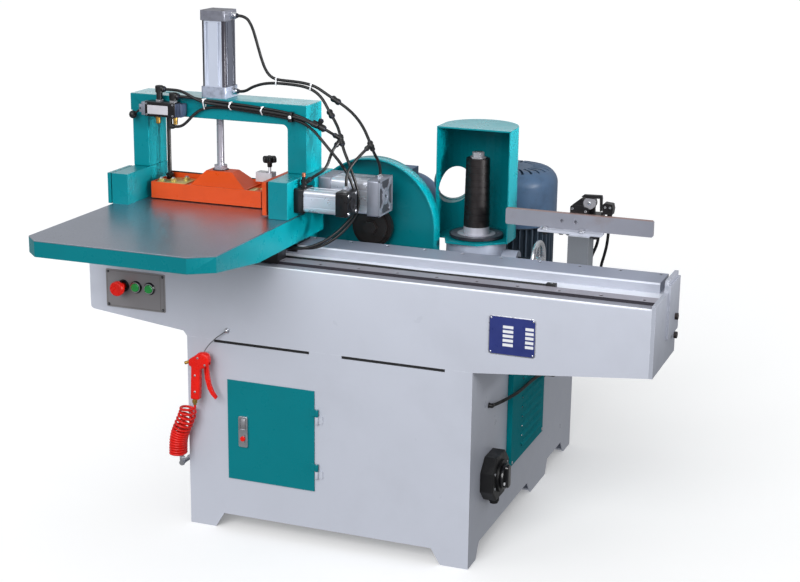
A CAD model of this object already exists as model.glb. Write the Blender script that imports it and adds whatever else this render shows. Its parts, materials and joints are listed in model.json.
import json
import math

import bmesh
import bpy
from mathutils import Matrix, Vector


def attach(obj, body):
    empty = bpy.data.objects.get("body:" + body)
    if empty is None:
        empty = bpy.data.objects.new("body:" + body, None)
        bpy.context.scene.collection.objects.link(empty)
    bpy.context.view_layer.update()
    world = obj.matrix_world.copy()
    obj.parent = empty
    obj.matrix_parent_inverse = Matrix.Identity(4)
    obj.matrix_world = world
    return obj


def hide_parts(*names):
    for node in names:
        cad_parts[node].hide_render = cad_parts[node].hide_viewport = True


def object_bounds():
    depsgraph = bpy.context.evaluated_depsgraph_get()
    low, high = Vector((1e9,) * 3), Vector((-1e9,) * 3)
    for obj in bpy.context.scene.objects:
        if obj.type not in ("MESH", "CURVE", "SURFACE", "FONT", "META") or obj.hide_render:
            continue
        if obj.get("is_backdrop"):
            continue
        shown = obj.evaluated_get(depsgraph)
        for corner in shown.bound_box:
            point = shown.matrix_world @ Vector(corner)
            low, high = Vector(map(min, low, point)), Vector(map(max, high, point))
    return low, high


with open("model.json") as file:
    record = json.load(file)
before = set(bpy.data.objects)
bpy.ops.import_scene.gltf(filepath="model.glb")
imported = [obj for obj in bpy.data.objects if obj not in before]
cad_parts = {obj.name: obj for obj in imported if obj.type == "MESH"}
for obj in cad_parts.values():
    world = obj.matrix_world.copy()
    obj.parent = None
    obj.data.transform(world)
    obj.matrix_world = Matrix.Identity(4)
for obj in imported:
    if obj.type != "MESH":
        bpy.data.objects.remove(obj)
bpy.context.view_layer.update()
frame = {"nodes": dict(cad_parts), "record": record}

scene = bpy.context.scene
NODES = frame["nodes"]
MM = 0.001


# ------------------------------------------------------------------ camera
def place_camera():
    yaw, pitch, roll = math.radians(20.8215), math.radians(-15.4776), math.radians(0.7290)
    fwd = Vector((-math.sin(yaw) * math.cos(pitch), math.cos(yaw) * math.cos(pitch), math.sin(pitch)))
    right = fwd.cross(Vector((0, 0, 1))).normalized()
    up = right.cross(fwd).normalized()
    c, s = math.cos(roll), math.sin(roll)
    r, u = c * right + s * up, -s * right + c * up
    data = bpy.data.cameras.new("camera")
    data.lens, data.sensor_width = 73.775, 36.0
    data.clip_end = 200.0
    ob = bpy.data.objects.new("camera", data)
    m = Matrix((r, u, -fwd)).transposed().to_4x4()
    m.translation = Vector((1.62842, -4.23904, 1.84047))
    ob.matrix_world = m
    scene.collection.objects.link(ob)
    scene.camera = ob


place_camera()


# --------------------------------------------------------------- materials
def lin(r, g, b):
    out = []
    for v in (r, g, b):
        v = v / 255.0
        out.append(v / 12.92 if v <= 0.04045 else ((v + 0.055) / 1.055) ** 2.4)
    return tuple(out)


def tint(c, k):
    return tuple(min(1.0, max(0.0, v * k)) for v in c)


def rgba(c):
    return (c[0], c[1], c[2], 1.0)


class Mat:
    """A node material on Object coordinates, built up a step at a time."""

    def __init__(self, name, base, rough=0.4, metal=0.0, coat=0.0, spec=0.5):
        self.m = bpy.data.materials.new(name)
        self.m.use_nodes = True
        self.nt = self.m.node_tree
        self.b = self.nt.nodes["Principled BSDF"]
        self.b.inputs["Base Color"].default_value = rgba(base)
        self.b.inputs["Roughness"].default_value = rough
        self.b.inputs["Metallic"].default_value = metal
        self.b.inputs["Specular IOR Level"].default_value = spec
        if coat:
            self.b.inputs["Coat Weight"].default_value = coat
            self.b.inputs["Coat Roughness"].default_value = 0.08
        self.coord = self.nt.nodes.new("ShaderNodeTexCoord").outputs["Object"]
        self.color = None
        self.base = base
        self.rough = rough

    def node(self, kind):
        return self.nt.nodes.new(kind)

    def link(self, a, b):
        self.nt.links.new(a, b)

    def mapped(self, scale):
        n = self.node("ShaderNodeMapping")
        n.inputs["Scale"].default_value = scale
        self.link(self.coord, n.inputs["Vector"])
        return n.outputs["Vector"]

    def noise(self, scale, detail=4.0, rough=0.55, vec=None, distortion=0.0):
        n = self.node("ShaderNodeTexNoise")
        n.inputs["Scale"].default_value = scale
        n.inputs["Detail"].default_value = detail
        n.inputs["Roughness"].default_value = rough
        n.inputs["Distortion"].default_value = distortion
        self.link(vec or self.coord, n.inputs["Vector"])
        return n.outputs["Fac"]

    def span(self, fac, a, b, lo=0.0, hi=1.0):
        n = self.node("ShaderNodeMapRange")
        n.inputs["From Min"].default_value = a
        n.inputs["From Max"].default_value = b
        n.inputs["To Min"].default_value = lo
        n.inputs["To Max"].default_value = hi
        self.link(fac, n.inputs["Value"])
        return n.outputs["Result"]

    def math(self, op, a, b):
        n = self.node("ShaderNodeMath")
        n.operation = op
        for i, v in enumerate((a, b)):
            if isinstance(v, (int, float)):
                n.inputs[i].default_value = v
            else:
                self.link(v, n.inputs[i])
        return n.outputs[0]

    def mix(self, fac, a, b):
        n = self.node("ShaderNodeMix")
        n.data_type = "RGBA"
        if isinstance(fac, (int, float)):
            n.inputs[0].default_value = fac
        else:
            self.link(fac, n.inputs[0])
        for sock, v in ((n.inputs[6], a), (n.inputs[7], b)):
            if isinstance(v, tuple):
                sock.default_value = rgba(v)
            else:
                self.link(v, sock)
        return n.outputs[2]

    def xyz(self):
        n = self.node("ShaderNodeSeparateXYZ")
        self.link(self.coord, n.inputs[0])
        return n.outputs

    def vary(self, amount=0.07, scale=5.0, detail=5.0):
        f = self.span(self.noise(scale, detail), 0.32, 0.68)
        self.color = self.mix(f, tint(self.base, 1 - amount), tint(self.base, 1 + amount))
        return self

    def over(self, fac, col):
        self.color = self.mix(fac, self.color if self.color else self.base, col)
        return self

    def rvary(self, amount=0.07, scale=18.0, vec=None):
        f = self.noise(scale, 4.0, 0.6, vec)
        r = self.span(f, 0.3, 0.7, max(0.02, self.rough - amount), min(1.0, self.rough + amount))
        self.link(r, self.b.inputs["Roughness"])
        return self

    def bump(self, scale, strength, dist, vec=None, detail=3.0):
        n = self.node("ShaderNodeBump")
        n.inputs["Strength"].default_value = strength
        n.inputs["Distance"].default_value = dist
        self.link(self.noise(scale, detail, 0.5, vec), n.inputs["Height"])
        self.link(n.outputs["Normal"], self.b.inputs["Normal"])
        return self

    def edges(self, col, radius=0.003, lo=0.04, hi=0.35, amount=0.5, scale=55.0):
        """Lighter, slightly rubbed edges, broken up by noise."""
        bev = self.node("ShaderNodeBevel")
        bev.samples = 4
        bev.inputs["Radius"].default_value = radius
        geo = self.node("ShaderNodeNewGeometry")
        dot = self.node("ShaderNodeVectorMath")
        dot.operation = "DOT_PRODUCT"
        self.link(bev.outputs["Normal"], dot.inputs[0])
        self.link(geo.outputs["Normal"], dot.inputs[1])
        edge = self.span(dot.outputs["Value"], 1.0 - lo, 1.0 - hi, 0.0, 1.0)
        brk = self.span(self.noise(scale, 6.0, 0.65), 0.42, 0.66, 0.0, amount)
        self.over(self.math("MULTIPLY", edge, brk), col)
        return self

    def grime(self, col, amount=0.25, scale=9.0, lo=0.5, hi=0.78):
        f = self.span(self.noise(scale, 9.0, 0.62), lo, hi, 0.0, amount)
        self.over(f, col)
        return self

    def done(self):
        if self.color is not None:
            self.link(self.color, self.b.inputs["Base Color"])
        return self.m


TEAL = lin(0, 119, 129)
LIGHT = lin(189, 193, 205)
ORANGE = lin(206, 74, 24)

M_TEAL = (
    Mat("teal_paint", TEAL, 0.30, 0.0, 0.0, 0.22)
    .vary(0.05, 3.0)
    .grime(lin(4, 98, 106), 0.22, 7.0)
    .edges(lin(74, 170, 178), 0.003, 0.03, 0.30, 0.45)
    .rvary(0.06, 16.0)
    .bump(650.0, 0.04, 0.0004)
    .done()
)
M_LIGHT = (
    Mat("light_paint", LIGHT, 0.34, 0.0, 0.0, 0.35)
    .vary(0.035, 2.2)
    .grime(lin(166, 169, 179), 0.25, 4.0)
    .edges(lin(224, 228, 237), 0.004, 0.03, 0.30, 0.5)
    .rvary(0.07, 14.0)
    .bump(600.0, 0.05, 0.0004)
    .done()
)
M_ORANGE = (
    Mat("orange_paint", ORANGE, 0.34, 0.0, 0.0, 0.3)
    .vary(0.06, 6.0)
    .grime(lin(180, 64, 26), 0.3, 18.0)
    .edges(lin(236, 136, 86), 0.003, 0.03, 0.30, 0.5)
    .rvary(0.08, 25.0)
    .bump(500.0, 0.08, 0.0005)
    .done()
)
M_MOTOR = (
    Mat("motor_paint", lin(76, 101, 131), 0.40, 0.0, 0.0, 0.35)
    .vary(0.10, 9.0)
    .grime(lin(44, 56, 74), 0.4, 24.0)
    .edges(lin(132, 150, 172), 0.002, 0.03, 0.30, 0.6)
    .rvary(0.08, 30.0)
    .bump(420.0, 0.12, 0.0006)
    .done()
)


def stainless(name, base, rough, stretch, along):
    m = Mat(name, base, rough, 1.0).vary(0.05, 2.0)
    vec = m.mapped(along)
    m.over(m.span(m.noise(stretch, 3.0, 0.6, vec), 0.3, 0.7, 0.0, 0.22), tint(base, 0.80))
    m.grime(tint(base, 0.72), 0.22, 5.0)
    m.rvary(0.06, stretch, vec)
    m.bump(stretch, 0.03, 0.0003, vec)
    return m


M_TABLE = stainless("stainless_sheet", lin(186, 191, 204), 0.32, 60.0, (1.0, 14.0, 14.0)).done()
M_GROUND = stainless("ground_steel", lin(150, 150, 154), 0.28, 90.0, (0.6, 12.0, 12.0)).edges(lin(225, 225, 228), 0.002, 0.03, 0.3, 0.8).done()
_m = Mat("rail_steel", lin(178, 182, 194), 0.38, 0.25, 0.0, 0.4).vary(0.04, 2.5)
_v = _m.mapped((0.5, 14.0, 14.0))
_m.over(_m.span(_m.noise(70.0, 3.0, 0.6, _v), 0.42, 0.66, 0.0, 0.35), lin(146, 148, 160))
_m.edges(lin(236, 238, 243), 0.0026, 0.02, 0.25, 0.9)
# rear rail: duller top with a bright ground corner; front rail: dull top over an oiled dark front
_x, _y, _z = _m.xyz()
_m.over(_m.math("GREATER_THAN", _z, 0.7836), lin(154, 160, 178))
_m.over(_m.math("MULTIPLY", _m.math("LESS_THAN", _y, -0.3458), _m.math("GREATER_THAN", _z, 0.7800)), lin(228, 232, 242))
_m.over(_m.math("LESS_THAN", _y, -0.40), lin(158, 156, 167))
_m.over(_m.math("LESS_THAN", _y, -0.4662), lin(50, 47, 54))
M_RAIL = _m.rvary(0.08, 60.0, _v).done()
# bed beam: light paint, bare and bright between the rails, dulled along the front ledge
_m = Mat("bed_paint", LIGHT, 0.34, 0.0, 0.0, 0.35).vary(0.035, 2.2)
_m.grime(lin(166, 169, 179), 0.25, 4.0).edges(lin(228, 232, 240), 0.004, 0.03, 0.30, 0.6)
_x, _y, _z = _m.xyz()
_top = _m.math("GREATER_THAN", _z, 0.7574)
_m.over(_m.math("MULTIPLY", _top, _m.math("LESS_THAN", _y, -0.4)), lin(148, 150, 162))
_m.over(_m.math("MULTIPLY", _top, _m.math("MULTIPLY", _m.math("GREATER_THAN", _y, -0.4235), _m.math("LESS_THAN", _y, -0.3495))), lin(222, 226, 236))
_m.over(_m.math("MULTIPLY", _m.math("LESS_THAN", _y, -0.4965), _m.math("GREATER_THAN", _z, 0.7555)), lin(230, 234, 242))
M_BEAM = _m.rvary(0.07, 14.0).bump(600.0, 0.05, 0.0004).done()
_m = Mat("stop_bar_steel", lin(140, 142, 153), 0.40, 0.35).vary(0.05, 8.0)
_m.grime(lin(120, 100, 88), 0.35, 16.0, 0.5, 0.7)
_m.over(_m.span(_m.xyz()[2], 0.8905, 0.8932, 0.0, 0.6), lin(158, 106, 78))
M_STOPBAR = _m.edges(lin(198, 186, 178), 0.002, 0.03, 0.3, 0.6).rvary(0.08, 60.0).done()
M_DARK = Mat("dark_steel", lin(48, 44, 44), 0.38, 0.75).vary(0.18, 12.0).grime(lin(70, 52, 44), 0.5, 20.0).edges(lin(130, 124, 120), 0.0015, 0.03, 0.3, 0.7).rvary(0.1, 40.0).done()
M_ALU = Mat("aluminium", lin(196, 202, 214), 0.36, 0.35).vary(0.03, 8.0).edges(lin(232, 234, 239), 0.0012, 0.03, 0.3, 0.5).rvary(0.05, 40.0).done()
M_ALUX = Mat("aluminium_bar", lin(206, 210, 220), 0.30, 0.7).vary(0.03, 6.0).rvary(0.05, 40.0).done()
M_CAST = Mat("cast_aluminium", lin(138, 142, 154), 0.44, 0.6).vary(0.06, 20.0).edges(lin(214, 216, 222), 0.0012, 0.03, 0.3, 0.5).rvary(0.08, 60.0).bump(900.0, 0.10, 0.0004).done()
M_CHROME = Mat("chrome", lin(224, 226, 232), 0.10, 1.0).vary(0.04, 12.0).rvary(0.05, 30.0).done()
M_ZINC = Mat("bright_zinc", lin(198, 200, 206), 0.30, 1.0).vary(0.08, 40.0).rvary(0.08, 60.0).done()
M_BLACK = Mat("black_plastic", lin(15, 15, 17), 0.42, 0.0, 0.0, 0.4).vary(0.18, 24.0).edges(lin(52, 52, 57), 0.0015, 0.03, 0.3, 0.5).rvary(0.10, 50.0).bump(900.0, 0.10, 0.0004).done()
M_BLACKGLOSS = Mat("black_gloss", lin(20, 20, 23), 0.18, 0.0, 0.3).vary(0.15, 24.0).rvary(0.06, 50.0).done()
M_BLACKMETAL = Mat("black_anodised", lin(22, 21, 24), 0.34, 0.35).vary(0.15, 30.0).edges(lin(84, 82, 86), 0.0015, 0.03, 0.3, 0.5).rvary(0.08, 60.0).done()
M_RED = Mat("red_plastic", lin(226, 26, 14), 0.28, 0.0, 0.0, 0.35).vary(0.08, 20.0).rvary(0.08, 60.0).bump(700.0, 0.06, 0.0003).done()
M_REDHOSE = Mat("hose_red", lin(214, 24, 15), 0.28, 0.0, 0.0, 0.35).vary(0.08, 30.0).rvary(0.06, 60.0).done()
M_GREEN = Mat("green_plastic", lin(22, 146, 62), 0.22, 0.0, 0.4).vary(0.10, 60.0).rvary(0.06, 60.0).done()
M_PLATE = Mat("grey_plate", lin(130, 128, 131), 0.42, 0.2).vary(0.05, 6.0).grime(lin(142, 141, 147), 0.3, 10.0).rvary(0.08, 30.0).done()
M_HOSE = Mat("hose_black", lin(10, 10, 12), 0.38, 0.0, 0.0, 0.4).vary(0.2, 30.0).grime(lin(26, 24, 25), 0.35, 26.0).rvary(0.10, 40.0).done()
M_CABLE = Mat("cable_black", lin(5, 5, 6), 0.5, 0.0, 0.0, 0.25).vary(0.2, 30.0).rvary(0.10, 40.0).done()
M_RUBBER = Mat("belt_rubber", lin(30, 30, 31), 0.7).vary(0.15, 30.0).rvary(0.08, 60.0).bump(900.0, 0.2, 0.0004).done()
M_BRASS = Mat("brass", lin(202, 160, 84), 0.32, 1.0).vary(0.10, 60.0).rvary(0.10, 80.0).bump(1400.0, 0.25, 0.0004).done()
M_COPPER = Mat("copper_tip", lin(214, 128, 98), 0.30, 0.9).vary(0.10, 60.0).rvary(0.08, 80.0).done()
M_NYLON = Mat("white_nylon", lin(226, 227, 230), 0.45).vary(0.04, 60.0).rvary(0.08, 60.0).done()
M_RING = Mat("release_ring", lin(22, 26, 42), 0.36).vary(0.12, 80.0).rvary(0.08, 80.0).done()
M_BLUEPLATE = Mat("nameplate_blue", lin(36, 48, 114), 0.34, 0.0).vary(0.08, 20.0).grime(lin(50, 62, 112), 0.3, 24.0).rvary(0.08, 40.0).done()
M_WHITE = Mat("white_field", lin(222, 224, 228), 0.45).vary(0.04, 30.0).rvary(0.06, 40.0).done()
M_LABEL = Mat("bare_label", lin(198, 196, 202), 0.4, 0.3).vary(0.05, 60.0).rvary(0.08, 40.0).done()
M_BLUECAP = Mat("valve_cap", lin(60, 72, 96), 0.42, 0.2).vary(0.10, 60.0).rvary(0.08, 60.0).done()
M_LINE = Mat("line_grey", lin(96, 92, 92), 0.5).vary(0.08, 40.0).rvary(0.06, 40.0).done()
M_WIRE = Mat("wire", lin(96, 96, 98), 0.4, 0.8).vary(0.1, 60.0).rvary(0.08, 60.0).done()
M_SUNK = Mat("sunk_field", lin(56, 56, 62), 0.5, 0.2).vary(0.08, 40.0).rvary(0.06, 40.0).done()
M_VOID = Mat("dark_recess", lin(14, 14, 16), 0.7).vary(0.2, 20.0).rvary(0.08, 20.0).done()
M_GREYPART = Mat("grey_moulding", lin(176, 178, 186), 0.42).vary(0.05, 40.0).rvary(0.08, 40.0).done()

_m = Mat("yellow_chromate", lin(206, 186, 112), 0.34, 0.7)
_m.vary(0.10, 30.0).over(_m.span(_m.noise(26.0, 6.0, 0.6, None, 0.6), 0.42, 0.64, 0.0, 0.55), lin(176, 190, 136))
_m.over(_m.span(_m.noise(41.0, 6.0, 0.6), 0.5, 0.7, 0.0, 0.5), lin(206, 140, 104))
M_CHROMATE = _m.rvary(0.08, 60.0).done()

# spindle stack: bright flange and hub below, ribbed brown-black collars, ground nut on top
_m = Mat("spindle_stack", lin(30, 25, 26), 0.42, 0.35)
_m.vary(0.2, 30.0)
_z = _m.xyz()[2]
_m.over(_m.math("LESS_THAN", _z, 0.8204), lin(178, 178, 188))
_x, _y, _ = _m.xyz()
_dx, _dy = _m.math("SUBTRACT", _x, 0.270), _m.math("SUBTRACT", _y, -0.085)
_d2 = _m.math("ADD", _m.math("MULTIPLY", _dx, _dx), _m.math("MULTIPLY", _dy, _dy))
_m.over(_m.math("GREATER_THAN", _d2, 0.052 ** 2), lin(88, 90, 100))
_m.over(_m.math("GREATER_THAN", _d2, 0.0708 ** 2), lin(44, 44, 52))
_m.over(_m.math("GREATER_THAN", _z, 1.0082), lin(150, 150, 156))
M_STACK = _m.rvary(0.08, 60.0).done()

# saw arbor: brown-black flange, brighter nut in front
_m = Mat("arbor_steel", lin(26, 21, 21), 0.40, 0.4)
_m.vary(0.2, 24.0).grime(lin(48, 36, 32), 0.4, 30.0)
_m.over(_m.math("LESS_THAN", _m.xyz()[1], -0.1805), lin(38, 34, 34))
M_ARBOR = _m.edges(lin(96, 90, 88), 0.0015, 0.03, 0.3, 0.5).rvary(0.08, 60.0).done()

# press rods: dark guide rod at the left, ground rod in the middle, bright clamp block at the right
_m = Mat("press_rods", lin(166, 164, 174), 0.30, 0.55)
_m.vary(0.06, 30.0)
_x = _m.xyz()[0]
_m.over(_m.math("LESS_THAN", _x, -0.55), lin(20, 18, 18))
_m.over(_m.math("GREATER_THAN", _x, -0.32), lin(208, 208, 212))
M_RODS = _m.rvary(0.06, 60.0).done()

# finned motor body: nearly black-blue
M_FINS = Mat("motor_fins", lin(66, 78, 92), 0.46, 0.0, 0.0, 0.3).vary(0.12, 12.0).grime(lin(42, 50, 60), 0.5, 24.0).edges(lin(84, 96, 112), 0.002, 0.03, 0.3, 0.4).rvary(0.08, 40.0).done()

# vent cover: flat teal without much sheen
M_LOUVRE = Mat("louvre_paint", lin(0, 124, 134), 0.6, 0.0, 0.0, 0.05).vary(0.06, 6.0).grime(lin(0, 98, 108), 0.3, 12.0).edges(lin(84, 176, 184), 0.003, 0.03, 0.30, 0.5).rvary(0.06, 16.0).done()

# stop post: the same light paint, dulled by dust toward the top plate
_m = Mat("post_paint", lin(124, 129, 137), 0.42, 0.0, 0.0, 0.3)
_m.vary(0.05, 5.0).grime(lin(120, 120, 122), 0.35, 9.0)
_m.over(_m.span(_m.xyz()[2], 0.735, 0.841, 0.0, 0.85), lin(88, 91, 95))
_m.over(_m.math("GREATER_THAN", _m.xyz()[2], 0.8415), lin(176, 180, 192))
M_POST = _m.edges(lin(206, 210, 218), 0.003, 0.03, 0.30, 0.5).rvary(0.07, 14.0).done()

# end plate and spindle housing: the same light paint, dulled
M_ENDPLATE = Mat("end_plate_paint", lin(166, 170, 182), 0.40, 0.0, 0.0, 0.3).vary(0.04, 4.0).grime(lin(146, 149, 159), 0.3, 7.0).edges(lin(222, 226, 235), 0.004, 0.03, 0.30, 0.5).rvary(0.07, 14.0).done()
M_HOUSING = Mat("housing_paint", lin(152, 159, 176), 0.42, 0.0, 0.0, 0.3).vary(0.05, 6.0).grime(lin(122, 130, 144), 0.35, 12.0).edges(lin(204, 209, 220), 0.002, 0.03, 0.30, 0.5).rvary(0.07, 14.0).done()

# press cylinder: bright barrel with a grey right face and dark corner channels between dull cast caps
_m = Mat("press_cylinder", lin(190, 197, 213), 0.34, 0.3)
_m.vary(0.03, 8.0)
_x, _y, _z = _m.xyz()
_cx = _m.math("ABSOLUTE", _m.math("SUBTRACT", _x, -0.4136), 0.0)
_cy = _m.math("ABSOLUTE", _m.math("SUBTRACT", _y, -0.268), 0.0)
_m.over(_m.span(_x, -0.3878, -0.3868), lin(84, 87, 99))
_m.over(_m.math("MULTIPLY", _m.span(_cx, 0.0252, 0.0272), _m.span(_cy, 0.0252, 0.0272)), lin(52, 50, 58))
_caps = _m.math("ADD", _m.math("LESS_THAN", _z, 1.1851), _m.math("GREATER_THAN", _z, 1.3619))
_m.over(_caps, lin(120, 122, 133))
_m.over(_m.math("LESS_THAN", _z, 1.1851), lin(164, 171, 189))
_m.over(_m.math("MULTIPLY", _caps, _m.span(_m.noise(60.0, 6.0, 0.6), 0.45, 0.68, 0.0, 0.5)), lin(92, 92, 102))
M_PRESSCYL = _m.edges(lin(214, 216, 222), 0.0012, 0.03, 0.3, 0.35).rvary(0.05, 40.0).done()

# limit lever: black frame round a grey cam
_m = Mat("limit_lever", lin(22, 21, 24), 0.36, 0.3)
_m.vary(0.15, 30.0)
_x, _, _z = _m.xyz()
_dx, _dz = _m.math("SUBTRACT", _x, 0.595), _m.math("SUBTRACT", _z, 0.921)
_d2 = _m.math("ADD", _m.math("MULTIPLY", _dx, _dx), _m.math("MULTIPLY", _dz, _dz))
_m.over(_m.math("LESS_THAN", _d2, 0.0161 ** 2), lin(142, 142, 148))
_m.over(_m.math("MULTIPLY", _m.math("GREATER_THAN", _z, 0.9338), _m.math("LESS_THAN", _m.xyz()[1], -0.1175)), lin(22, 21, 24))
M_LEVER = _m.rvary(0.08, 60.0).done()

# handwheel: bright rim and hub on a dark shaft
_m = Mat("handwheel_steel", lin(206, 208, 214), 0.24, 0.8)
_m.vary(0.05, 30.0)
_m.over(_m.math("LESS_THAN", _m.xyz()[0], 0.4318), lin(40, 40, 44))
M_WHEEL = _m.rvary(0.08, 60.0).done()

# switchgear: dark devices on a light rail and plate
_m = Mat("switchgear", lin(60, 62, 66), 0.45)
M_SWITCH = _m.vary(0.2, 18.0).edges(lin(130, 132, 138), 0.002, 0.03, 0.3, 0.6).rvary(0.08, 40.0).done()

SLOT_MATS = {
    "light_paint": M_LIGHT, "teal_paint": M_TEAL, "orange_paint": M_ORANGE, "motor_paint": M_MOTOR, "stainless": M_TABLE,
    "ground_steel": M_GROUND, "dark_steel": M_DARK, "aluminium": M_ALU, "chrome": M_CHROME, "black_plastic": M_BLACK,
    "red_plastic": M_RED, "green_plastic": M_GREEN, "grey_plate": M_PLATE, "hose_black": M_HOSE, "hose_red": M_REDHOSE,
    "belt_rubber": M_RUBBER,
}
OWN_MATS = {
    "press_cylinder": M_PRESSCYL, "louvre_panel": M_LOUVRE, "stop_post": M_POST, "bed_rails": M_RAIL, "bed_beam": M_BEAM, "stop_bar": M_STOPBAR, "spindle_collars": M_STACK, "saw_arbor": M_ARBOR, "press_rods": M_RODS,
    "switchgear": M_SWITCH, "limit_valve": M_BLACKMETAL, "isolator_knob": M_BLACKGLOSS, "bed_fasteners": M_DARK,
    "motor_frame": M_FINS, "spindle_housing": M_HOUSING, "bed_end_plate": M_ENDPLATE, "handwheel": M_WHEEL,
    "slide_shoes": M_BLACKMETAL, "door_latch": M_ZINC, "button_bodies": M_BLACKMETAL, "limit_lever": M_LEVER,
}
SLOT_OF = {s["node"]: s["material_slot"] for s in frame["record"]["subparts"]}
# edge rounding of the sheet, cast and machined pieces (mm); the rest keep the edges that they have
ROUND = {
    "base_cabinet": 2.0, "bed_beam": 1.6, "bed_end_plate": 1.2, "cabinet_door": 0.9, "louvre_panel": 1.4, "gantry_frame": 2.2,
    "left_cheek": 1.8, "right_cheek": 1.8, "carriage_frame": 1.6, "saw_hood": 1.0, "cutter_hood": 1.4, "press_bar": 1.8,
    "side_pusher": 1.2, "table_top": 0.7, "stop_post": 1.4, "stop_bar": 0.7, "bed_rails": 0.7, "control_panel": 0.5,
    "saw_bracket": 1.5, "drive_bracket": 1.2, "isolator_knob": 0.8, "press_cylinder": 0.7, "press_rods": 0.5,
    "spindle_housing": 1.0, "limit_valve": 0.8, "slide_shoes": 0.6, "motor_cowl": 0.8, "saw_motor": 0.8, "button_bodies": 0.5,
    "valve_lever": 0.5, "limit_lever": 0.5, "air_gun_trigger": 1.6, "switchgear": 0.8, "bed_fasteners": 0.5,
}
for _name, _ob in NODES.items():
    _mat = OWN_MATS.get(_name) or SLOT_MATS[SLOT_OF[_name]]
    _ob.data.materials.clear()
    _ob.data.materials.append(_mat)
    if _name in ROUND:
        w = _ob.modifiers.new("weld", "WELD")
        w.merge_threshold = 0.00002
        b = _ob.modifiers.new("round", "BEVEL")
        b.width, b.segments, b.limit_method = ROUND[_name] * MM, 2, "ANGLE"
        b.angle_limit, b.harden_normals, b.use_clamp_overlap = math.radians(38), True, True
        b.miter_outer = "MITER_ARC"


# ------------------------------------------------------------ piece builder
def vec(p):
    return Vector((p[0] * MM, p[1] * MM, p[2] * MM))


def axis_frame(o, d):
    """A matrix with its Z along d at o (mm)."""
    z = Vector(d).normalized()
    x = Vector((0, 0, 1)).cross(z) if abs(z.z) < 0.95 else Vector((0, 1, 0)).cross(z)
    x.normalize()
    y = z.cross(x)
    m = Matrix((x, y, z)).transposed().to_4x4()
    m.translation = vec(o)
    return m


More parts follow.
